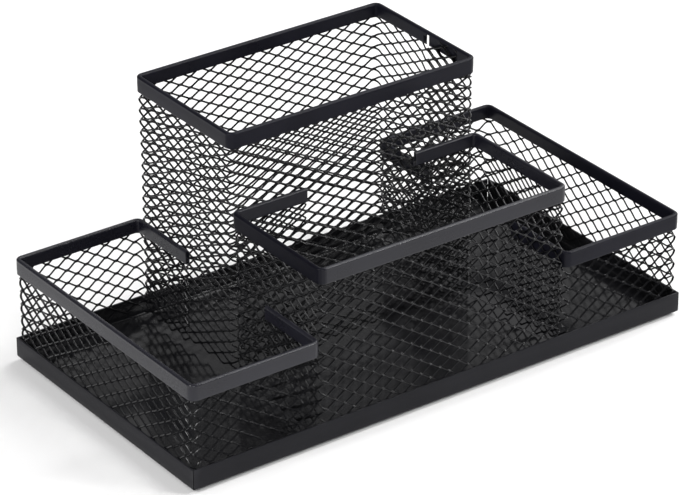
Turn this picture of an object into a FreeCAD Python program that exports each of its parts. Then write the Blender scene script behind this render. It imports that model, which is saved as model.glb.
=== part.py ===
import FreeCAD, Part
import os
import math

os.makedirs("parts", exist_ok=True)
V = FreeCAD.Vector

# Desk organizer made of expanded-metal strips on a shallow bent-up sheet pan.
# Frame: origin on the resting surface under the middle of the pan, +X to the right,
# +Y to the back, +Z up.  Millimetres.

# ---------------------------------------------------------------- driving sizes
LENGTH = 220.0          # pan, left to right, over its lips
DEPTH = 118.0           # pan, front to back, over its lips

PAD_D = 10.0            # self-adhesive foot pad, diameter
PAD_H = 1.0             # foot pad, height
PAD_EDGE = 0.3          # foot pad, rounding of its lower edge
PAD_INSET_X = 16.0      # foot pad centre from the pan's side
PAD_INSET_Y = 14.0      # foot pad centre from the pan's front or back

PAN_T = 0.8             # pan sheet
PAN_LIP = 8.4           # height of the lip over the pan's underside
PAN_BEND_R = 0.35       # inside radius of the lip's bend
PAN_SLIT = 0.25         # open mitre between two lips at a corner
PAN_EDGE = 0.15         # deburred top edge of the lip

RIM_T = 0.5             # rim sheet
RIM_SLOT = 0.9          # slot of the folded rim, which takes the mesh
RIM_W = 2 * RIM_T + RIM_SLOT
RIM_OUT_H = 6.3         # outer flange of the rim
RIM_IN_H = 5.3          # inner flange of the rim
RIM_ROUND = 0.8         # rounding of the fold, outside
CORNER_R = 3.0          # outer corner radius of every rim, in plan
INSET = 0.3             # rims stand this far inside the pan's outer faces

MESH_T = 0.8            # over-strand thickness of the expanded metal
MESH_OUT = RIM_T + (RIM_SLOT - MESH_T) / 2      # rim's outer face to the mesh's outer face
MESH_FOOT = 0.4         # mesh stands this far over the pan's floor, clear of the bend
GAP = 0.05              # rims lie against a neighbour's mesh with this play

TRAY_H = 42.0           # heights over the pan's underside
MIDDLE_H = 70.1
TALL_H = 100.6

TALL_W = 110.4          # tall box, over its rim, left to right (the middle box is as wide)
TALL_D = 62.3           # tall box, over its rim, front to back

TRAY_FRONT_RETURN = 32.6    # inner side of a side tray: return at the front
TRAY_REAR_RETURN = 33.8     # inner side of a side tray: return at the back
MIDDLE_LEFT_RETURN = 32.6   # back side of the middle box: return on the left
MIDDLE_RIGHT_RETURN = 28.6  # back side of the middle box: return on the right

# lap of the tall box's strip, on its right wall
LAP_FROM_BACK = 33.5    # the lap starts this far from the box's back face
LAP_LENGTH = 19.0
SEAM_SLIT = 1.8         # joint between the rim's two ends, beside the lap
SEAM_SLIT_H = 4.2

# ---------------------------------------------------------------- derived places
HX, HY = LENGTH / 2.0, DEPTH / 2.0
Z_PAN = PAD_H                       # pan's underside
Z_FLOOR = Z_PAN + PAN_T             # pan's floor, upper face
Z_MESH = Z_FLOOR + MESH_FOOT        # lower edge of every mesh strip
Z_TRAY = Z_PAN + TRAY_H
Z_MIDDLE = Z_PAN + MIDDLE_H
Z_TALL = Z_PAN + TALL_H

Y_BACK = HY - INSET
Y_FRONT = -HY + INSET
X_SIDE = HX - INSET
Y_TALL_FRONT = Y_BACK - TALL_D
# a neighbour's rim touches the tall (or middle) box's mesh, which is set back by MESH_OUT
X_TRAY_INNER = TALL_W / 2.0 - MESH_OUT + GAP
Y_MIDDLE_BACK = Y_TALL_FRONT + MESH_OUT - GAP


# ---------------------------------------------------------------- helpers
def rounded(x0, y0, x1, y1, r, z):
    """Wire of a rounded rectangle in plan, at height z."""
    k = r * (1 - math.sqrt(0.5))
    p = lambda x, y: V(x, y, z)
    e = [
        Part.LineSegment(p(x0 + r, y0), p(x1 - r, y0)).toShape(),
        Part.Arc(p(x1 - r, y0), p(x1 - k, y0 + k), p(x1, y0 + r)).toShape(),
        Part.LineSegment(p(x1, y0 + r), p(x1, y1 - r)).toShape(),
        Part.Arc(p(x1, y1 - r), p(x1 - k, y1 - k), p(x1 - r, y1)).toShape(),
        Part.LineSegment(p(x1 - r, y1), p(x0 + r, y1)).toShape(),
        Part.Arc(p(x0 + r, y1), p(x0 + k, y1 - k), p(x0, y1 - r)).toShape(),
        Part.LineSegment(p(x0, y1 - r), p(x0, y0 + r)).toShape(),
        Part.Arc(p(x0, y0 + r), p(x0 + k, y0 + k), p(x0 + r, y0)).toShape(),
    ]
    return Part.Wire(e)


def column(b, off, z0, z1):
    """Solid inside the box b=(x0, y0, x1, y1), inset by off, from z0 to z1."""
    w = rounded(b[0] + off, b[1] + off, b[2] - off, b[3] - off, CORNER_R - off, z0)
    return Part.Face(w).extrude(V(0, 0, z1 - z0))


def band(b, off_out, off_in, z0, z1):
    """Closed band that follows the box b between two insets."""
    return column(b, off_out, z0, z1).cut(column(b, off_in, z0 - 1, z1 + 1))


def block(x0, x1, y0, y1, z0, z1):
    return Part.makeBox(x1 - x0, y1 - y0, z1 - z0, V(x0, y0, z0))


def ring_edges(shape, z, tol=1e-4):
    out = []
    for e in shape.Edges:
        bb = e.BoundBox
        if abs(bb.ZMin - z) < tol and abs(bb.ZMax - z) < tol:
            out.append(e)
    return out


def rim(b, z_top):
    """Folded U-section rim around box b: outer flange, rounded top, shorter inner flange."""
    s = band(b, 0.0, RIM_W, z_top - RIM_OUT_H, z_top)
    s = s.cut(band(b, RIM_T, RIM_T + RIM_SLOT, z_top - RIM_OUT_H - 1, z_top - RIM_T))
    s = s.cut(band(b, RIM_T + RIM_SLOT / 2, RIM_W + 1, z_top - RIM_OUT_H - 1, z_top - RIM_IN_H))
    s = s.makeFillet(RIM_ROUND, ring_edges(s, z_top))
    s = s.makeFillet(RIM_ROUND - RIM_T, ring_edges(s, z_top - RIM_T))
    return s


def mesh_strip(b, z_top):
    """Expanded-metal strip around box b, standing in the rim's slot."""
    return band(b, MESH_OUT, MESH_OUT + MESH_T, Z_MESH, z_top - RIM_T - 0.1)


def one_solid(shape, name):
    s = shape.removeSplitter()
    assert len(s.Solids) == 1, (name, len(s.Solids))
    s = s.Solids[0]
    assert s.isValid(), name
    return s


parts = {}

# ---------------------------------------------------------------- pan
r_out = PAN_T + PAN_BEND_R
lip_top = Z_PAN + PAN_LIP


def lip(p0, p1, inward):
    """Bent-up lip from corner p0 to corner p1 (outer corners in plan), mitred at both ends."""
    a, b = V(p0[0], p0[1], 0), V(p1[0], p1[1], 0)
    n = V(inward[0], inward[1], 0)
    q = lambda u, z: a + n * u + V(0, 0, z)
    k = math.sqrt(0.5)
    zb = Z_PAN
    ci = (r_out, zb + r_out)                 # centre of the bend
    prof = [
        Part.LineSegment(q(0, zb + r_out), q(0, lip_top)).toShape(),
        Part.LineSegment(q(0, lip_top), q(PAN_T, lip_top)).toShape(),
        Part.LineSegment(q(PAN_T, lip_top), q(PAN_T, zb + r_out)).toShape(),
        Part.Arc(q(PAN_T, zb + r_out),
                 q(ci[0] - PAN_BEND_R * k, ci[1] - PAN_BEND_R * k),
                 q(r_out, zb + PAN_T)).toShape(),
        Part.LineSegment(q(r_out, zb + PAN_T), q(r_out, zb)).toShape(),
        Part.Arc(q(r_out, zb), q(ci[0] - r_out * k, ci[1] - r_out * k),
                 q(0, zb + r_out)).toShape(),
    ]
    s = Part.Face(Part.Wire(prof)).extrude(b - a)
    top = [e for e in ring_edges(s, lip_top) if abs((e.Vertexes[-1].Point - e.Vertexes[0].Point).dot(n)) < 1e-6]
    s = s.makeFillet(PAN_EDGE, top)
    # mitre: keep what lies between the 45 degree lines from both corners
    d = (b - a).normalize()
    g = PAN_SLIT / 2 * math.sqrt(2)
    w = r_out
    poly = [a + d * g, b - d * g, b - d * (g + w + 1) + n * (w + 1), a + d * (g + w + 1) + n * (w + 1)]
    keep = Part.Face(Part.makePolygon(poly + [poly[0]])).extrude(V(0, 0, lip_top + 5))
    return s.common(keep)


pan = block(-HX + r_out, HX - r_out, -HY + r_out, HY - r_out, Z_PAN, Z_FLOOR)
for p0, p1, n in [((-HX, -HY), (HX, -HY), (0, 1)),
                  ((HX, -HY), (HX, HY), (-1, 0)),
                  ((HX, HY), (-HX, HY), (0, -1)),
                  ((-HX, HY), (-HX, -HY), (1, 0))]:
    pan = pan.fuse(lip(p0, p1, n))
parts["base_pan"] = one_solid(pan, "base_pan")

# ---------------------------------------------------------------- foot pads
for sx, nx in ((-1, "left"), (1, "right")):
    for sy, ny in ((-1, "front"), (1, "rear")):
        c = V(sx * (HX - PAD_INSET_X), sy * (HY - PAD_INSET_Y), 0)
        pad = Part.makeCylinder(PAD_D / 2, PAD_H, c)
        pad = pad.makeFillet(PAD_EDGE, [e for e in ring_edges(pad, 0.0)])
        parts["foot_pad_%s_%s" % (ny, nx)] = one_solid(pad, "foot_pad")

# ---------------------------------------------------------------- tall box, a closed loop
tall = (-TALL_W / 2, Y_TALL_FRONT, TALL_W / 2, Y_BACK)
lap_y1 = Y_BACK - LAP_FROM_BACK
lap_y0 = lap_y1 - LAP_LENGTH
mesh = mesh_strip(tall, Z_TALL)
lap = block(tall[2] - MESH_OUT - 2 * MESH_T, tall[2] - MESH_OUT - MESH_T / 2,
            lap_y0, lap_y1, Z_MESH, Z_TALL - RIM_T - 0.1)
parts["tall_box_mesh"] = one_solid(mesh.fuse(lap), "tall_box_mesh")

r = rim(tall, Z_TALL)
# the inner flange is left out where the strip's two ends lap, because the lap fills the slot
r = r.cut(block(tall[2] - RIM_W - 0.5, tall[2] - RIM_T - RIM_SLOT + 0.3,
                lap_y0 - 0.2, lap_y1 + SEAM_SLIT, Z_TALL - RIM_OUT_H - 1, Z_TALL - RIM_T - 0.02))
r = r.cut(block(tall[2] - RIM_T - 0.1, tall[2] + 1, lap_y1, lap_y1 + SEAM_SLIT,
                Z_TALL - RIM_OUT_H - 1, Z_TALL - RIM_OUT_H + SEAM_SLIT_H))
parts["tall_box_rim"] = one_solid(r, "tall_box_rim")

# ---------------------------------------------------------------- middle box, open at the back between two returns
middle = (-TALL_W / 2, Y_FRONT, TALL_W / 2, Y_MIDDLE_BACK)
opening = block(middle[0] + MIDDLE_LEFT_RETURN, middle[2] - MIDDLE_RIGHT_RETURN,
                middle[3] - 10, middle[3] + 10, 0, Z_MIDDLE + 10)
parts["middle_box_mesh"] = one_solid(mesh_strip(middle, Z_MIDDLE).cut(opening), "middle_box_mesh")
parts["middle_box_rim"] = one_solid(rim(middle, Z_MIDDLE).cut(opening), "middle_box_rim")

# ---------------------------------------------------------------- side trays, open on their inner side between two returns
for side, sx in (("left", -1), ("right", 1)):
    if sx < 0:
        tray = (-X_SIDE, Y_FRONT, -X_TRAY_INNER, Y_BACK)
        xi = tray[2]
    else:
        tray = (X_TRAY_INNER, Y_FRONT, X_SIDE, Y_BACK)
        xi = tray[0]
    opening = block(xi - 10, xi + 10, Y_FRONT + TRAY_FRONT_RETURN, Y_BACK - TRAY_REAR_RETURN,
                    0, Z_TRAY + 10)
    parts[side + "_tray_mesh"] = one_solid(mesh_strip(tray, Z_TRAY).cut(opening), side + "_tray_mesh")
    parts[side + "_tray_rim"] = one_solid(rim(tray, Z_TRAY).cut(opening), side + "_tray_rim")

# ---------------------------------------------------------------- write
for name, shape in parts.items():
    shape.exportStep("parts/%s.step" % name)
    bb = shape.BoundBox
    print("%-24s vol %9.1f  x %.2f..%.2f  y %.2f..%.2f  z %.2f..%.2f" % (
        name, shape.Volume, bb.XMin, bb.XMax, bb.YMin, bb.YMax, bb.ZMin, bb.ZMax))
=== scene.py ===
import math

import bpy
import bmesh
import numpy as np
from mathutils import Matrix, Vector


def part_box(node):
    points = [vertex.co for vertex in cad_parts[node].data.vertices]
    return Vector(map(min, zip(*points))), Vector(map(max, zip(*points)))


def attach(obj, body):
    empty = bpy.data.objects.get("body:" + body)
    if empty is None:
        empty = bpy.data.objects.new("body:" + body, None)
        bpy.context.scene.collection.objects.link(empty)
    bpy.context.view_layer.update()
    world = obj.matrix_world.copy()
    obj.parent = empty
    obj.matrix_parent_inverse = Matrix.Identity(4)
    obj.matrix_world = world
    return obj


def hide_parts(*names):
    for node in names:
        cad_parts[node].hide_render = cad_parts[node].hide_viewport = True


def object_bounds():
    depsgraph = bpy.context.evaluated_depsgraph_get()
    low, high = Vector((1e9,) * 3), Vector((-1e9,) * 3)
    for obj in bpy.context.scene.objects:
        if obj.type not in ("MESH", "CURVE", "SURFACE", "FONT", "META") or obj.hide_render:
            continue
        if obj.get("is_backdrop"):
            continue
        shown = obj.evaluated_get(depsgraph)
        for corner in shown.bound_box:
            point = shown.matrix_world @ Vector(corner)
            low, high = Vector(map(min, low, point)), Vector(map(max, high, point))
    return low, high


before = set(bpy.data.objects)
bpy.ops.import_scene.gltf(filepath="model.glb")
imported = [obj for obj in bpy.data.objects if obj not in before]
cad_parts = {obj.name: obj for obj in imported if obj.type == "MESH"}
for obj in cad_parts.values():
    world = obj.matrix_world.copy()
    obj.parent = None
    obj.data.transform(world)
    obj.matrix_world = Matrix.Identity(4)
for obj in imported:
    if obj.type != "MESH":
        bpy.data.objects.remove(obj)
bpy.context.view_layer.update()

scene = bpy.context.scene
MM = 0.001

# ---------------------------------------------------------------- sizes, in mm
RIM_T = 0.5
RIM_W = 1.9
RIM_OUT_H = 6.3
RIM_IN_H = 5.3
RIM_ROUND = 0.8
CORNER_R = 3.0
MESH_DEPTH = RIM_W / 2          # rim's outer face to the middle of the expanded metal
TOP_GAP = 0.6                   # the strip ends this far under the rim's top


def box_mm(node):
    lo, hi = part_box(node)
    return [v / MM for v in lo], [v / MM for v in hi]


# ---------------------------------------------------------------- small helpers
def smooth(t):
    t = np.clip(t, 0.0, 1.0)
    return t * t * (3.0 - 2.0 * t)


def new_object(name, verts_mm, faces, sharp=38.0, materials=()):
    """A mesh object from points in mm; faces is an (n, 4) array or a list of index tuples."""
    me = bpy.data.meshes.new(name)
    v = np.asarray(verts_mm, np.float64) * MM
    if isinstance(faces, np.ndarray):
        n, k = faces.shape
        me.vertices.add(len(v))
        me.vertices.foreach_set("co", v.astype(np.float32).ravel())
        me.loops.add(n * k)
        me.loops.foreach_set("vertex_index", faces.astype(np.int32).ravel())
        me.polygons.add(n)
        me.polygons.foreach_set("loop_start", np.arange(0, n * k, k, dtype=np.int32))
        me.update(calc_edges=True)
    else:
        me.from_pydata([tuple(p) for p in v], [], faces)
    me.validate()
    me.shade_smooth()
    me.set_sharp_from_angle(angle=math.radians(sharp))
    for m in materials:
        me.materials.append(m)
    ob = bpy.data.objects.new(name, me)
    scene.collection.objects.link(ob)
    return ob


def piece(ob, slot, *nodes):
    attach(ob, "root")
    if nodes:
        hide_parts(*nodes)
    return ob


class Track:
    """A walk round a rounded rectangle, clockwise seen from above, from one point of a side
    to another point of the same side.  Lengths are measured at the depth MESH_DEPTH."""

    def __init__(self, x0, y0, x1, y1, side, start, end):
        R = CORNER_R
        runs = {
            "right": ((x1, y1 - R), (x1, y0 + R), (1.0, 0.0)),
            "front": ((x1 - R, y0), (x0 + R, y0), (0.0, -1.0)),
            "left": ((x0, y0 + R), (x0, y1 - R), (-1.0, 0.0)),
            "back": ((x0 + R, y1), (x1 - R, y1), (0.0, 1.0)),
        }
        arcs = {
            "right": ((x1 - R, y0 + R), 0.0),
            "front": ((x0 + R, y0 + R), -90.0),
            "left": ((x0 + R, y1 - R), 180.0),
            "back": ((x1 - R, y1 - R), 90.0),
        }
        order = ["right", "front", "left", "back"]
        k = order.index(side)
        walk = order[k:] + order[:k] + [side]
        self.segs = []
        for i, name in enumerate(walk):
            a, b, n = runs[name]
            ax = 1 if name in ("right", "left") else 0
            a, b = list(a), list(b)
            if i == 0:
                a[ax] = start
            if i == 4:
                b[ax] = end
            ln = abs(b[ax] - a[ax])
            self.segs.append(("line", name, ln, a, b, n))
            if i < 4:
                c, ang = arcs[name]
                self.segs.append(("arc", name, math.radians(90.0) * (R - MESH_DEPTH), c, ang, None))
        self.knots = np.concatenate([[0.0], np.cumsum([s[2] for s in self.segs])])
        self.length = float(self.knots[-1])

    def at(self, s):
        """Points of the outer face and outward normals at the lengths s."""
        s = np.asarray(s, float)
        q = np.zeros((len(s), 2))
        n = np.zeros((len(s), 2))
        idx = np.clip(np.searchsorted(self.knots, s, side="right") - 1, 0, len(self.segs) - 1)
        for i, (kind, name, ln, a, b, nn) in enumerate(self.segs):
            m = idx == i
            if not m.any():
                continue
            t = (s[m] - self.knots[i]) / max(ln, 1e-9)
            if kind == "line":
                q[m] = np.array(a)[None] * (1 - t[:, None]) + np.array(b)[None] * t[:, None]
                n[m] = nn
            else:
                ang = math.radians(b) - t * math.radians(90.0)
                v = np.stack([np.cos(ang), np.sin(ang)], 1)
                q[m] = np.array(a)[None] + CORNER_R * v
                n[m] = v
        return q, n

    def marks(self, line_step, arc_n):
        """Lengths at which a swept section is placed."""
        out = []
        for i, sg in enumerate(self.segs):
            a, ln = self.knots[i], sg[2]
            if sg[0] == "arc":
                out.extend(a + ln * np.arange(arc_n) / arc_n)
            else:
                k = max(1, int(round(ln / line_step)))
                out.extend(a + ln * np.arange(k) / k)
        out.append(self.length)
        return np.array(out)


# ---------------------------------------------------------------- expanded metal
STRAND_W = 0.80         # strand, across its wide face
STRAND_T = 0.66         # strand, sheet thickness
STRAND_C = 0.13         # worn or coated-over corner of the strand
OVERLAP = 0.34          # neighbouring strands run into each other by this at a bond
TILT = math.radians(31.0)
BOND = 0.30             # half length of a bond
BEND = 0.34             # length of the bend beside the bond


def expanded(name, track, z0, z1, pitch, rise, slip, lift, warp_seed, lap=None, mat=None, notch=None, sharp=80.0):
    """One strip of raised expanded metal: every row is a zigzag strand that meets the row
    over it and the row under it at the bonds.  pitch: side name -> length of a full mesh;
    slip: side name -> mm the pattern stands along that side; lift: mm it stands up."""
    # pattern coordinate u, in half meshes, along the strip
    rate = []
    for sg in track.segs:
        nm = sg[1]
        nxt = {"right": "front", "front": "left", "left": "back", "back": "right"}[nm]
        p = pitch[nm] if sg[0] == "line" else 0.5 * (pitch[nm] + pitch[nxt])
        rate.append(2.0 / p)
    du = np.array([sg[2] for sg in track.segs]) * np.array(rate)
    fine = np.linspace(0.0, track.length, int(track.length / 0.25) + 1)
    uk = np.interp(fine, track.knots, np.concatenate([[0.0], np.cumsum(du)]))
    last = 0.0
    for i, sg in enumerate(track.segs):
        if sg[0] != "line":
            continue
        want = slip.get(sg[1] + "_end" if i == len(track.segs) - 1 else sg[1], None)
        if want is None:
            continue
        want *= -2.0 / pitch[sg[1]] * (1.0 if sg[1] in ("left", "back") else -1.0)
        step_u = (want - last + 1.0) % 2.0 - 1.0
        last += step_u
        if i == 0:
            uk = uk + step_u
        else:
            a0, a1 = track.knots[i - 1] - 9.0, track.knots[i] + 9.0
            uk = uk + step_u * np.clip((fine - a0) / (a1 - a0), 0.0, 1.0)
    u_of = lambda s: np.interp(s, fine, uk)
    s_of = lambda u: np.interp(u, uk, fine)
    half = 0.5 * np.mean([pitch[k] for k in pitch])
    a, b = BOND / half, (BOND + BEND) / half
    ks = np.arange(math.floor(uk[0]) - 1, math.ceil(uk[-1]) + 2)
    us = np.sort(np.concatenate([ks + o for o in (-b, -a, a, b)]))
    us = us[(us > uk[0] + 1e-4) & (us < uk[-1] - 1e-4)]
    s = np.concatenate([[0.0], s_of(us), [track.length]])
    # more samples where the strip turns
    extra = []
    for i, sg in enumerate(track.segs):
        if sg[0] != "arc":
            continue
        lo, hi = track.knots[i], track.knots[i + 1]
        pts = np.concatenate([[lo], s[(s > lo) & (s < hi)], [hi]])
        for p0, p1 in zip(pts[:-1], pts[1:]):
            n = int((p1 - p0) / 0.9)
            extra.extend(p0 + (p1 - p0) * (np.arange(n) + 1) / (n + 1))
        extra.extend([lo, hi])
    s = np.unique(np.round(np.concatenate([s, extra]), 5))
    keep = np.concatenate([[True], np.diff(s) > 0.12])
    s = s[keep]
    u = u_of(s)
    near = np.round(u)
    f = u - near                                   # -0.5 .. 0.5 round each bond
    sgn = 1.0 - 2.0 * np.mod(near, 2)
    # 1 on the bond, then an easy bend, then straight to the next bond
    m = np.abs(f)
    k1 = 0.30 * BEND / half / (1.0 - 2 * a)        # drop over the bend, in half heights
    g = np.where(m <= a, 1.0, np.where(m <= b, 1.0 - (m - a) / (b - a) * 2 * k1 * 1.0,
                                       (1.0 - 2 * k1) * (1.0 - (m - b) / (0.5 - b))))
    g = g * sgn
    q, nrm = track.at(s)
    rng = np.random.RandomState(warp_seed)
    ph = rng.uniform(0, 2 * math.pi, 8)
    step = rise / 2.0
    w_eff = STRAND_W - OVERLAP
    amp_z = (step - w_eff * math.cos(TILT)) / 2.0
    amp_n = w_eff * math.sin(TILT) / 2.0
    top = z1
    row0 = int(math.floor(lift / step))
    z0 = z0 + lift - row0 * step
    rows = int(math.ceil((top - z0) / step)) + 1
    hw, ht, c = STRAND_W / 2, STRAND_T / 2, STRAND_C
    sec = np.array([[hw, 0.0], [hw - c, ht], [-hw + c, ht], [-hw, 0.0], [-hw + c, -ht], [hw - c, -ht]])
    W = np.array([math.cos(TILT), -math.sin(TILT)])      # (z, n) of the wide face
    T = np.array([math.sin(TILT), math.cos(TILT)])       # (z, n) of its normal
    depth0 = np.full(len(s), MESH_DEPTH)
    if lap is not None:
        depth0 = depth0 + lap(s)
    V, F = [], []
    base = 0
    ns, nc = len(s), len(sec)
    jit = rng.normal(0.0, 1.0, (rows + 2, ns))
    # the same small error on both strands of a bond, so that they stay joined
    for r in range(rows):
        side = 1.0 if (r + row0) % 2 == 0 else -1.0
        zc = z0 + (STRAND_W * 0.5 * math.cos(TILT)) + amp_z + r * step
        reach = zc + amp_z + hw * W[0]
        if reach > top + (0.15 if notch is None else 0.35):
            break
        gz = g * side
        z = zc + amp_z * gz
        zz = z + 0.10 * np.sin(s / 21.0 + ph[0] + z * 0.035) + 0.05 * np.sin(s / 8.3 + ph[1] - z * 0.11)
        off = amp_n * gz
        free = np.clip((top - z) / 12.0, 0, 1) * np.clip((z - z0) / 6.0, 0, 1)
        off = off + free * (0.13 * np.sin(s / 17.0 + ph[2] + z * 0.06) + 0.09 * np.sin(s / 9.0 + ph[3] - z * 0.13))
        tw = 1.0 + 0.012 * (r % 2)
        # pressed flatter inside the rim's slot and where it is welded to the pan's lip
        flat = 1.0 - 0.42 * np.maximum(smooth((z - (top - 5.4)) / 1.6), smooth((10.4 - z) / 1.6))
        # the rows inside the rim are trimmed back beside its joint, and lie free at the lap
        keep = np.ones(ns, bool)
        if notch is not None and zc > top - 4.6:
            keep = (s >= notch[0]) & ((s <= notch[1]) | ((s >= notch[2]) & (reach < top - 0.6)))
            flat = np.where(s >= notch[2], 1.0, flat)
        off = off * flat
        P = np.zeros((ns, nc, 3))
        for k, (pw, pt) in enumerate(sec):
            dz = pw * W[0] + pt * tw * T[0]
            dn = pw * W[1] + pt * tw * T[1]
            d = depth0 - (off + dn * flat)
            P[:, k, 0] = q[:, 0] - nrm[:, 0] * d
            P[:, k, 1] = q[:, 1] - nrm[:, 1] * d
            P[:, k, 2] = zz + dz
        idx = np.flatnonzero(keep)
        for run in np.split(idx, np.flatnonzero(np.diff(idx) > 1) + 1):
            nr = len(run)
            if nr < 2:
                continue
            V.append(P[run].reshape(-1, 3))
            i = np.arange(nr - 1)[:, None] * nc
            k = np.arange(nc)[None]
            k2 = (k + 1) % nc
            quad = np.stack([i + k, i + nc + k, i + nc + k2, i + k2], -1).reshape(-1, 4) + base
            F.append(quad)
            e0 = np.array([[0, 1, 2, 3], [0, 3, 4, 5]]) + base
            e1 = np.array([[3, 2, 1, 0], [5, 4, 3, 0]]) + base + (nr - 1) * nc
            F.append(e0)
            F.append(e1)
            base += nr * nc
    V, F = np.concatenate(V), np.concatenate(F)
    ob = new_object(name, V, F, sharp, [mat])
    return ob


# ---------------------------------------------------------------- folded rim
def rim_section(out_h, in_h, crown=0.10):
    """Closed outline of the folded rim: (depth from the outer face, height over the top)."""
    pts = []
    r, w, t = RIM_ROUND, RIM_W, RIM_T
    # outer flange, bottom edge (rounded) and up
    e = t / 2
    for a in (270, 225, 180):
        pts.append((e + e * math.cos(math.radians(a)) * 0.96, -out_h + e + e * math.sin(math.radians(a))))
    hgt = out_h - r - e
    for k in range(1, 8):
        f = k / 8.0
        z = -out_h + e + hgt * f
        d = crown * (2 * f - 1) ** 2 * 0.9
        pts.append((d * 0.9, z))
    for a in np.linspace(180, 90, 8):
        pts.append((r + r * math.cos(math.radians(a)) + (crown * 0.6 if a == 180 else 0), -r + r * math.sin(math.radians(a))))
    for a in np.linspace(90, 0, 8):
        pts.append((w - r + r * math.cos(math.radians(a)), -r + r * math.sin(math.radians(a))))
    hgt = in_h - r - e
    for k in range(1, 6):
        f = k / 6.0
        pts.append((w - 0.02, -r - hgt * f))
    for a in (0, -45, -90, -135, -180):
        pts.append((w - e + e * math.cos(math.radians(a)), -in_h + e + e * math.sin(math.radians(a))))
    pts.append((w - t, -t - 0.25))
    pts.append((w - t - 0.25, -t))
    pts.append((t + 0.25, -t))
    pts.append((t, -t - 0.25))
    for a in (0, -45):
        pts.append((e + e * math.cos(math.radians(a)) * 0.96, -out_h + e + e * math.sin(math.radians(a))))
    return np.array(pts)


def side_weight(track, s, side, ease=6.0):
    """1 along one side of the walk, easing to 0 round its corners."""
    w = np.zeros(len(s))
    for i, sg in enumerate(track.segs):
        if sg[0] == "line" and sg[1] == side:
            a, b = track.knots[i], track.knots[i + 1]
            w = np.maximum(w, smooth(1.0 - np.maximum(a - s, s - b) / ease))
    return w


def rim(name, track, ztop, closed, seed, mats, line_step=3.0, shade_by_side=None):
    sec = rim_section(RIM_OUT_H, RIM_IN_H)
    s = track.marks(line_step, 12)
    if closed:
        s = s[:-1]
    q, nrm = track.at(s)
    ns, nc = len(s), len(sec)
    rng = np.random.RandomState(seed)
    ph = rng.uniform(0, 2 * math.pi, 6)
    wob = 0.05 * np.sin(s / 23.0 + ph[0]) + 0.035 * np.sin(s / 9.5 + ph[1])
    lift = 0.04 * np.sin(s / 31.0 + ph[2])
    P = np.zeros((ns, nc, 3))
    for k, (d, z) in enumerate(sec):
        low = min(1.0, max(0.0, -z / RIM_OUT_H))
        dd = d + (0.06 + wob) * low * (1.0 if d < RIM_W / 2 else -0.4)
        P[:, k, 0] = q[:, 0] - nrm[:, 0] * dd
        P[:, k, 1] = q[:, 1] - nrm[:, 1] * dd
        P[:, k, 2] = ztop + z - 0.04 + lift * (0.3 + 0.7 * low)
    V = P.reshape(-1, 3)
    nseg = ns if closed else ns - 1
    i = np.arange(nseg)[:, None]
    k = np.arange(nc)[None]
    k2 = (k + 1) % nc
    j = (i + 1) % ns
    F = np.stack([i * nc + k, i * nc + k2, j * nc + k2, j * nc + k], -1).reshape(-1, 4)
    faces = [tuple(int(x) for x in f) for f in F]
    if not closed:
        faces.append(tuple(range(nc))[::-1])
        faces.append(tuple((ns - 1) * nc + x for x in range(nc)))
    ob = new_object(name, V, faces, 40.0, mats)
    mid = (s[:nseg] + np.where(np.arange(nseg) + 1 < ns, s[np.minimum(np.arange(nseg) + 1, ns - 1)], track.length)) / 2
    # painted shade: each run of the rim takes a darker copy of the coat, chosen by its side
    shade_step = np.zeros(nseg, np.int32)
    for side, k in (shade_by_side or {}).items():
        shade_step = np.maximum(shade_step, np.round(k * side_weight(track, mid, side, 6.05)).astype(np.int32))
    shade_step = np.concatenate([np.repeat(shade_step, nc), np.zeros(len(faces) - nseg * nc, np.int32)])
    ob.data.polygons.foreach_set("material_index", shade_step)
    bm = bmesh.new()
    bm.from_mesh(ob.data)
    bmesh.ops.recalc_face_normals(bm, faces=bm.faces)
    bm.to_mesh(ob.data)
    bm.free()
    ob.data.set_sharp_from_angle(angle=math.radians(40.0))
    return ob


def cut(ob, lo, hi):
    """Takes a box (mm corners) out of a piece."""
    me = bpy.data.meshes.new("cutter")
    bm = bmesh.new()
    bmesh.ops.create_cube(bm, size=1.0)
    for v in bm.verts:
        v.co = Vector([(lo[i] + hi[i]) / 2 * MM + v.co[i] * (hi[i] - lo[i]) * MM for i in range(3)])
    bm.to_mesh(me)
    bm.free()
    cu = bpy.data.objects.new("cutter", me)
    scene.collection.objects.link(cu)
    md = ob.modifiers.new("cut", "BOOLEAN")
    md.operation = "DIFFERENCE"
    md.solver = "EXACT"
    md.object = cu
    dg = bpy.context.evaluated_depsgraph_get()
    done = bpy.data.meshes.new_from_object(ob.evaluated_get(dg), depsgraph=dg)
    ob.modifiers.clear()
    old = ob.data
    ob.data = done
    bpy.data.meshes.remove(old)
    bpy.data.objects.remove(cu)
    ob.data.shade_smooth()
    ob.data.set_sharp_from_angle(angle=math.radians(40.0))


# ---------------------------------------------------------------- materials
def nodes_of(mat):
    mat.use_nodes = True
    nt = mat.node_tree
    nt.nodes.clear()
    out = nt.nodes.new("ShaderNodeOutputMaterial")
    bsdf = nt.nodes.new("ShaderNodeBsdfPrincipled")
    nt.links.new(bsdf.outputs["BSDF"], out.inputs["Surface"])
    return nt, bsdf


def ramp(nt, fac, stops):
    r = nt.nodes.new("ShaderNodeValToRGB")
    els = r.color_ramp.elements
    while len(els) < len(stops):
        els.new(0.5)
    for e, (p, c) in zip(els, stops):
        e.position = p
        e.color = (c[0], c[1], c[2], 1.0) if isinstance(c, (tuple, list)) else (c, c, c, 1.0)
    nt.links.new(fac, r.inputs["Fac"])
    return r


def noise(nt, vec, scale, detail=2.0, rough=0.5):
    n = nt.nodes.new("ShaderNodeTexNoise")
    n.inputs["Scale"].default_value = scale
    n.inputs["Detail"].default_value = detail
    n.inputs["Roughness"].default_value = rough
    nt.links.new(vec, n.inputs["Vector"])
    return n


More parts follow.
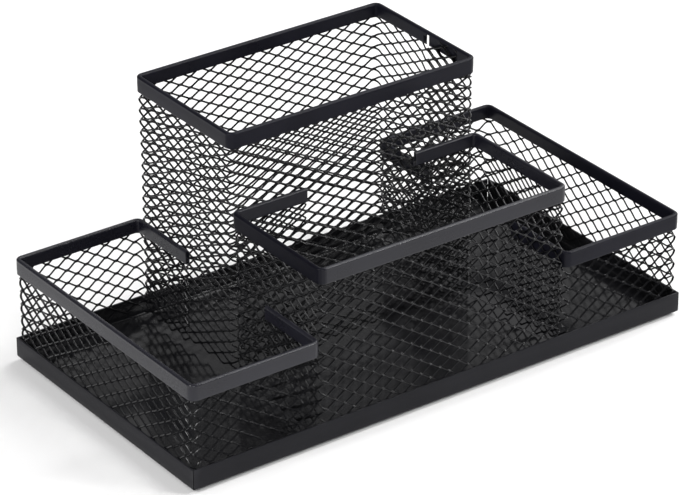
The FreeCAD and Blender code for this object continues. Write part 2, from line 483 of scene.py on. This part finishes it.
def powder_coat(name, dark, light, rough_lo, rough_hi, peel=0.25, grain=0.2, spec=0.5, edge_thin_and_highlight=0.0):
    """Black powder coat on steel: orange peel, a fine grain and a slow change of gloss."""
    mat = bpy.data.materials.new(name)
    nt, bsdf = nodes_of(mat)
    tc = nt.nodes.new("ShaderNodeTexCoord")
    vec = tc.outputs["Object"]
    slow = noise(nt, vec, 38.0, 3.0, 0.6)
    fine = noise(nt, vec, 1500.0, 2.0, 0.6)
    peel_n = noise(nt, vec, 620.0, 2.0, 0.5)
    col = ramp(nt, slow.outputs["Fac"], [(0.30, dark), (0.72, light)])
    if edge_thin_and_highlight:
        # lighter colour on the sharp outer edges: partly a thinner coat, partly painted highlight along the edges,
        # broken up by the grain
        geo = nt.nodes.new("ShaderNodeNewGeometry")
        edge = nt.nodes.new("ShaderNodeMapRange")
        edge.inputs["From Min"].default_value = 0.53
        edge.inputs["From Max"].default_value = 0.66
        edge.inputs["To Max"].default_value = edge_thin_and_highlight
        nt.links.new(geo.outputs["Pointiness"], edge.inputs["Value"])
        patch = ramp(nt, noise(nt, vec, 90.0, 4.0, 0.65).outputs["Fac"], [(0.38, 0.15), (0.66, 1.0)])
        mul = nt.nodes.new("ShaderNodeMath")
        mul.operation = "MULTIPLY"
        nt.links.new(edge.outputs["Result"], mul.inputs[0])
        nt.links.new(patch.outputs["Color"], mul.inputs[1])
        mix = nt.nodes.new("ShaderNodeMix")
        mix.data_type = "RGBA"
        mix.inputs["B"].default_value = (0.055, 0.055, 0.06, 1.0)
        nt.links.new(mul.outputs[0], mix.inputs["Factor"])
        nt.links.new(col.outputs["Color"], mix.inputs["A"])
        nt.links.new(mix.outputs["Result"], bsdf.inputs["Base Color"])
    else:
        nt.links.new(col.outputs["Color"], bsdf.inputs["Base Color"])
    mr = nt.nodes.new("ShaderNodeMapRange")
    mr.inputs["From Min"].default_value = 0.25
    mr.inputs["From Max"].default_value = 0.75
    mr.inputs["To Min"].default_value = rough_lo
    mr.inputs["To Max"].default_value = rough_hi
    mixf = nt.nodes.new("ShaderNodeMath")
    mixf.operation = "MULTIPLY_ADD"
    mixf.inputs[1].default_value = 0.2
    nt.links.new(fine.outputs["Fac"], mixf.inputs[0])
    half = nt.nodes.new("ShaderNodeMath")
    half.operation = "MULTIPLY"
    half.inputs[1].default_value = 0.8
    nt.links.new(slow.outputs["Fac"], half.inputs[0])
    nt.links.new(half.outputs[0], mixf.inputs[2])
    nt.links.new(mixf.outputs[0], mr.inputs["Value"])
    nt.links.new(mr.outputs["Result"], bsdf.inputs["Roughness"])
    b1 = nt.nodes.new("ShaderNodeBump")
    b1.inputs["Strength"].default_value = peel
    b1.inputs["Distance"].default_value = 0.00012
    nt.links.new(peel_n.outputs["Fac"], b1.inputs["Height"])
    b2 = nt.nodes.new("ShaderNodeBump")
    b2.inputs["Strength"].default_value = grain
    b2.inputs["Distance"].default_value = 0.00004
    nt.links.new(fine.outputs["Fac"], b2.inputs["Height"])
    nt.links.new(b1.outputs["Normal"], b2.inputs["Normal"])
    nt.links.new(b2.outputs["Normal"], bsdf.inputs["Normal"])
    bsdf.inputs["Specular IOR Level"].default_value = spec
    return mat


coat_rim = powder_coat("powder_coat_rim", (0.0065, 0.0065, 0.0105), (0.0105, 0.0105, 0.0165), 0.22, 0.34, 0.09, 0.05, spec=0.36, edge_thin_and_highlight=0.6)
# painted shade: a darker, less glossy copy of the rim coat, dimming the rim's reflections on the tall box and right
# tray
coat_rim_shaded = powder_coat("powder_coat_rim_shaded", (0.0055, 0.0055, 0.009), (0.0095, 0.0095, 0.015), 0.25, 0.37, 0.09, 0.05, spec=0.10, edge_thin_and_highlight=0.6)
# painted shade: steps of ever darker, less glossy copies of the rim coat; step 0 is the rim coat itself
RIM_SHADE_STEPS = [coat_rim] + [
    powder_coat("powder_coat_rim_step_%d" % k, (0.0065 - 0.0005 * k, 0.0065 - 0.0005 * k, 0.0105 - 0.0007 * k),
                (0.0105 - 0.0007 * k, 0.0105 - 0.0007 * k, 0.0165 - 0.0011 * k), 0.22 + 0.01 * k, 0.34 + 0.01 * k, 0.09, 0.05,
                spec=0.37 - 0.053 * k, edge_thin_and_highlight=0.6) for k in range(1, 7)]
coat_pan = powder_coat("powder_coat_pan", (0.006, 0.006, 0.007), (0.010, 0.010, 0.0115), 0.09, 0.15, 0.10, 0.05, spec=0.5)
# painted shade: the lips' copy of the pan coat, with a low specular level that darkens their reflections
coat_lip_shaded = powder_coat("powder_coat_pan_lip_shaded", (0.008, 0.008, 0.010), (0.012, 0.012, 0.015), 0.28, 0.42, spec=0.13, edge_thin_and_highlight=0.5)
coat_mesh = powder_coat("powder_coat_mesh", (0.0025, 0.0025, 0.0032), (0.0055, 0.0055, 0.0065), 0.13, 0.22, 0.10, 0.06, spec=0.24)


def rubber(name):
    mat = bpy.data.materials.new(name)
    nt, bsdf = nodes_of(mat)
    tc = nt.nodes.new("ShaderNodeTexCoord")
    vec = tc.outputs["Object"]
    n1 = noise(nt, vec, 220.0, 4.0, 0.6)
    n2 = noise(nt, vec, 2200.0, 2.0, 0.5)
    col = ramp(nt, n1.outputs["Fac"], [(0.3, (0.016, 0.016, 0.016)), (0.75, (0.030, 0.029, 0.028))])
    nt.links.new(col.outputs["Color"], bsdf.inputs["Base Color"])
    rr = ramp(nt, n1.outputs["Fac"], [(0.3, 0.72), (0.7, 0.88)])
    nt.links.new(rr.outputs["Color"], bsdf.inputs["Roughness"])
    b = nt.nodes.new("ShaderNodeBump")
    b.inputs["Strength"].default_value = 0.35
    b.inputs["Distance"].default_value = 0.00008
    nt.links.new(n2.outputs["Fac"], b.inputs["Height"])
    nt.links.new(b.outputs["Normal"], bsdf.inputs["Normal"])
    return mat


pad_rubber = rubber("pad_rubber_matt")

# ---------------------------------------------------------------- boxes
boxes = {}
for n in ("tall_box", "middle_box", "left_tray", "right_tray"):
    lo, hi = box_mm(n + "_rim")
    mlo, mhi = box_mm(n + "_mesh")
    boxes[n] = (lo[0], lo[1], hi[0], hi[1], hi[2], mlo[2])

# open sides and where the two ends of each strip lie
OPEN = {
    "tall_box": ("right", 25.2, 6.2),
    "middle_box": ("back", 26.6, -22.6),
    "left_tray": ("right", -26.1, 24.9),
    "right_tray": ("left", 24.9, -26.1),
}
PITCH = {
    "tall_box": dict(right=9.5, front=8.55, left=9.4, back=8.72),
    "middle_box": dict(right=8.85, front=8.5, left=8.85, back=8.5),
    "left_tray": dict(right=8.75, front=8.3, left=8.75, back=8.5),
    "right_tray": dict(right=8.95, front=8.6, left=8.95, back=8.6),
}
RISE = {"tall_box": 4.5, "middle_box": 5.6, "left_tray": 5.3, "right_tray": 5.7}
# painted shade: on some runs of the middle rim the coat is swapped for darker, less glossy copies, graded round its
# corners
RIM_SHADE_BY_SIDE = {"middle_box": dict(left=6, back=3, front=1, right=1), "left_tray": {}, "right_tray": {}}
SLIP = {
    "tall_box": dict(front=7.01, left=2.6, back=3.4, right_end=-5.46),
    "middle_box": dict(front=-1.72, left=0.27),
    "left_tray": dict(front=-0.72, left=-1.71, back=3.41),
    "right_tray": dict(front=-3.28, right=-4.03),
}
LIFT = {"tall_box": -0.3, "middle_box": 0.3, "left_tray": -0.7, "right_tray": -0.8}

for i, n in enumerate(("tall_box", "middle_box", "left_tray", "right_tray")):
    x0, y0, x1, y1, ztop, zlow = boxes[n]
    side, a, b = OPEN[n]
    tr = Track(x0, y0, x1, y1, side, a, b)
    lap = notch = None
    if n == "tall_box":
        L = tr.length
        y_over = 25.2                                 # the strip's first end
        s_over = L - (y_over - b)
        lap = lambda s, c=s_over: 0.88 * smooth((s - (c - 5.0)) / 4.5)
        notch = (2.2, s_over - 2.0, s_over + 1.2)
    ob = expanded(n + "_expanded_metal", tr, zlow, ztop - TOP_GAP, PITCH[n], RISE[n], SLIP[n],
                  LIFT[n], 11 + i, lap, coat_mesh, notch, 60.0 if n.endswith("tray") else 80.0)
    piece(ob, "mesh_coat", n + "_mesh")
    if n == "tall_box":
        # closed rim: start and end of the walk are the same point
        full = Track(x0, y0, x1, y1, "right", 15.0, 15.0)
        # painted shade: the tall box's rim wears the darker, less glossy copy of the rim coat
        rb = rim(n + "_folded_rim", full, ztop, True, 31 + i, [coat_rim_shaded])
        # joint beside the lap, and the inner flange left out at the lap
        cut(rb, (x1 - 4.0, 6.2, ztop - 12.0), (x1 - RIM_W + 0.95, 25.2, ztop - RIM_T - 0.35))
        cut(rb, (x1 - 4.0, 25.2, ztop - 12.0), (x1 + 2.0, 27.0, ztop - RIM_OUT_H + 4.2))
    else:
        # painted shade: the right tray's rim wears the darker copy of the rim coat, the other rims the shaded steps by
        # side
        rb = rim(n + "_folded_rim", tr, ztop, False, 31 + i, [coat_rim_shaded] if n == "right_tray" else RIM_SHADE_STEPS,
                 shade_by_side=RIM_SHADE_BY_SIDE[n])
    piece(rb, "rim_coat", n + "_rim")

# ---------------------------------------------------------------- pan
def pan(name, mats):
    """Sheet pan: a floor that is not quite flat, four lips bent up, an open mitre at each corner."""
    lo, hi = box_mm("base_pan")
    hx, hy = (hi[0] - lo[0]) / 2, (hi[1] - lo[1]) / 2
    zb, zt = lo[2], hi[2]
    t, ri = 0.8, 0.35
    ro = t + ri
    fx, fy, zf = hx - ro, hy - ro, zb + t
    nx, ny = 74, 40
    xs, ys = np.linspace(-fx, fx, nx + 1), np.linspace(-fy, fy, ny + 1)
    X, Y = np.meshgrid(xs, ys, indexing="ij")
    edge = smooth(np.minimum(fx - np.abs(X), fy - np.abs(Y)) / 14.0)
    und = 0.030 * np.sin(X / 13.0 + 0.6) * np.sin(Y / 11.0 + 1.1) + 0.045 * np.sin(X / 27.0 - Y / 19.0) \
        + 0.020 * np.sin(X / 6.1 + Y / 7.7)
    V = [np.stack([X, Y, zf + und * edge], -1).reshape(-1, 3), np.stack([X, Y, np.full_like(X, zb)], -1).reshape(-1, 3)]
    nb = (nx + 1) * (ny + 1)
    top = np.arange(nb).reshape(nx + 1, ny + 1)
    bot = top + nb
    faces, mi = [], []
    for i in range(nx):
        for j in range(ny):
            faces.append((top[i, j], top[i + 1, j], top[i + 1, j + 1], top[i, j + 1])); mi.append(0)
            faces.append((bot[i, j], bot[i, j + 1], bot[i + 1, j + 1], bot[i + 1, j])); mi.append(1)
    prof = []
    for a in (22.5, 45.0, 67.5, 90.0):
        a = math.radians(a)
        prof.append((ri * math.sin(a), zf + ri * (1 - math.cos(a)), 0))
    for f in (0.25, 0.6):
        prof.append((ri, zf + ri + (zt - 0.26 - zf - ri) * f, 0))
    # the third value picks the material: 1 is the lips' shaded copy of the pan coat (painted shade)
    prof += [(ri, zt - 0.26, 0), (ri + 0.07, zt - 0.08, 1), (ri + 0.24, zt, 1), (ro - 0.24, zt, 1), (ro - 0.07, zt - 0.08, 1),
             (ro, zt - 0.26, 1)]
    for f in (0.3, 0.65):
        prof.append((ro, zt - 0.26 - (zt - 0.26 - zb - ro) * f, 1))
    for a in (90.0, 67.5, 45.0, 22.5):
        a = math.radians(a)
        prof.append((ro * math.sin(a), zb + ro - ro * math.cos(a), 1))
    slit = 0.20
    sides = [
        ([(0, j) for j in range(ny, -1, -1)], (-1, 0), 1),
        ([(i, 0) for i in range(nx + 1)], (0, -1), 0),
        ([(nx, j) for j in range(ny + 1)], (1, 0), 1),
        ([(i, ny) for i in range(nx, -1, -1)], (0, 1), 0),
    ]
    count = 2 * nb
    for si, (idx, n, ax) in enumerate(sides):
        base = np.array([[xs[i], ys[j]] for i, j in idx])
        half = fy if ax == 1 else fx
        along = base[:, ax]
        rows = [[top[i, j] for i, j in idx]]
        for d, z, m in prof:
            e = half + (d - slit if d > 0.1 else 0.0)
            p = base.copy()
            p[:, ax] = along * e / half
            rise = (z - zf) / (zt - zf)
            lean = 0.05 * np.sin(along / 24.0 + si * 1.7) + 0.03 * np.sin(along / 9.0 + si)
            dd = d + max(rise, 0.0) * lean - max(rise, 0.0) * 0.06
            p[:, 0] += n[0] * dd
            p[:, 1] += n[1] * dd
            zz = np.full(len(along), z) + (0.03 * np.sin(along / 17.0 + si * 2.1) - 0.03) * max(rise, 0.0)
            V.append(np.column_stack([p, zz]))
            rows.append(list(range(count, count + len(along))))
            count += len(along)
        rows.append([bot[i, j] for i, j in idx])
        for k in range(len(rows) - 1):
            m = prof[min(k, len(prof) - 1)][2]
            for q in range(len(idx) - 1):
                faces.append((rows[k][q], rows[k][q + 1], rows[k + 1][q + 1], rows[k + 1][q])); mi.append(m)
        faces.append(tuple(r[0] for r in rows)); mi.append(1)
        faces.append(tuple(r[-1] for r in rows)[::-1]); mi.append(1)
    V = np.concatenate(V)
    me = bpy.data.meshes.new(name)
    me.from_pydata([tuple(v * MM) for v in V], [], [tuple(int(x) for x in f) for f in faces])
    for m in mats:
        me.materials.append(m)
    me.polygons.foreach_set("material_index", mi)
    bm = bmesh.new()
    bm.from_mesh(me)
    bmesh.ops.recalc_face_normals(bm, faces=bm.faces)
    bm.to_mesh(me)
    bm.free()
    me.shade_smooth()
    me.set_sharp_from_angle(angle=math.radians(40.0))
    ob = bpy.data.objects.new(name, me)
    scene.collection.objects.link(ob)
    return ob


piece(pan("sheet_pan", [coat_pan, coat_lip_shaded]), "pan_coat", "base_pan")

# ---------------------------------------------------------------- foot pads keep their CAD shape
for n in ("foot_pad_front_left", "foot_pad_front_right", "foot_pad_rear_left", "foot_pad_rear_right"):
    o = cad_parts[n]
    o.data.materials.clear()
    o.data.materials.append(pad_rubber)

# ---------------------------------------------------------------- stage, light, camera
me = bpy.data.meshes.new("stage_floor")
R = 3.0
N = 96
fv = [(0.0, 0.0, 0.0)] + [(R * math.cos(2 * math.pi * k / N), R * math.sin(2 * math.pi * k / N), 0.0) for k in range(N)]
me.from_pydata(fv, [], [(0, 1 + k, 1 + (k + 1) % N) for k in range(N)])
floor = bpy.data.objects.new("stage_floor", me)
scene.collection.objects.link(floor)
fm = bpy.data.materials.new("stage_white")
nt, bsdf = nodes_of(fm)
bsdf.inputs["Base Color"].default_value = (0.863, 0.860, 0.858, 1.0)
bsdf.inputs["Roughness"].default_value = 0.9
bsdf.inputs["Specular IOR Level"].default_value = 0.1
me.materials.append(fm)
floor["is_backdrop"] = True

world = bpy.data.worlds.new("studio")
scene.world = world
world.use_nodes = True
wn = world.node_tree
wn.nodes["Background"].inputs["Color"].default_value = (0.965, 0.962, 0.975, 1.0)
wn.nodes["Background"].inputs["Strength"].default_value = 0.24


def softbox(name, loc, target, size, power, colour=(1.0, 1.0, 1.0)):
    ld = bpy.data.lights.new(name, "AREA")
    ld.shape = "RECTANGLE"
    ld.size, ld.size_y = size
    ld.energy = power
    ld.color = colour
    lo = bpy.data.objects.new(name, ld)
    lo.location = loc
    d = Vector(target) - Vector(loc)
    lo.rotation_mode = "QUATERNION"
    lo.rotation_quaternion = d.to_track_quat("-Z", "Y")
    scene.collection.objects.link(lo)
    lo.visible_camera = False
    return lo


softbox("key_top", (0.95, 0.10, 1.00), (0.08, -0.05, 0.0), (1.1, 1.1), 18.0)
softbox("fill_top", (-0.55, 0.10, 1.20), (-0.05, 0.0, 0.0), (0.9, 0.9), 1.6)
softbox("left_box", (-1.05, -0.10, 0.72), (0.0, 0.0, 0.04), (0.30, 0.28), 7.5)
softbox("front_right", (0.50, -0.62, 0.58), (0.05, -0.1, 0.0), (0.34, 0.34), 2.6)
softbox("spark", (0.56, -0.69, 0.66), (0.0, 0.0, 0.03), (0.10, 0.10), 2.2)
softbox("fill_front_left", (-0.66, -0.95, 0.66), (0.0, 0.0, 0.04), (0.5, 0.5), 4.5)
softbox("back_panel", (0.92, 1.28, 0.84), (0.0, 0.0, 0.0), (1.7, 1.0), 1.4)

cam = bpy.data.cameras.new("camera")
camo = bpy.data.objects.new("camera", cam)
scene.collection.objects.link(camo)
F_PX, WIDTH_PX = 3816.1032, 679.0
yaw, pitch, roll = math.radians(-35.4373), math.radians(27.9971), math.radians(-0.3510)
tx, ty, tz = 4.0561, 2.8809, 1409.5782
back = Vector((math.sin(yaw) * math.cos(pitch), -math.cos(yaw) * math.cos(pitch), math.sin(pitch)))
right = Vector((math.cos(yaw), math.sin(yaw), 0.0))
up = back.cross(right)
c, s_ = math.cos(roll), math.sin(roll)
r1, r2, r3 = c * right + s_ * up, -s_ * right + c * up, back
loc = Vector((0.0, 0.0, 41.0)) - tx * r1 - ty * r2 + tz * r3
camo.matrix_world = Matrix((
    (r1.x, r2.x, r3.x, loc.x * MM),
    (r1.y, r2.y, r3.y, loc.y * MM),
    (r1.z, r2.z, r3.z, loc.z * MM),
    (0.0, 0.0, 0.0, 1.0)))
cam.sensor_width = 36.0
cam.lens = F_PX / WIDTH_PX * 36.0
cam.clip_start, cam.clip_end = 0.05, 20.0
scene.camera = camo
scene.view_settings.view_transform = "Standard"
scene.view_settings.look = "None"

lo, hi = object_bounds()
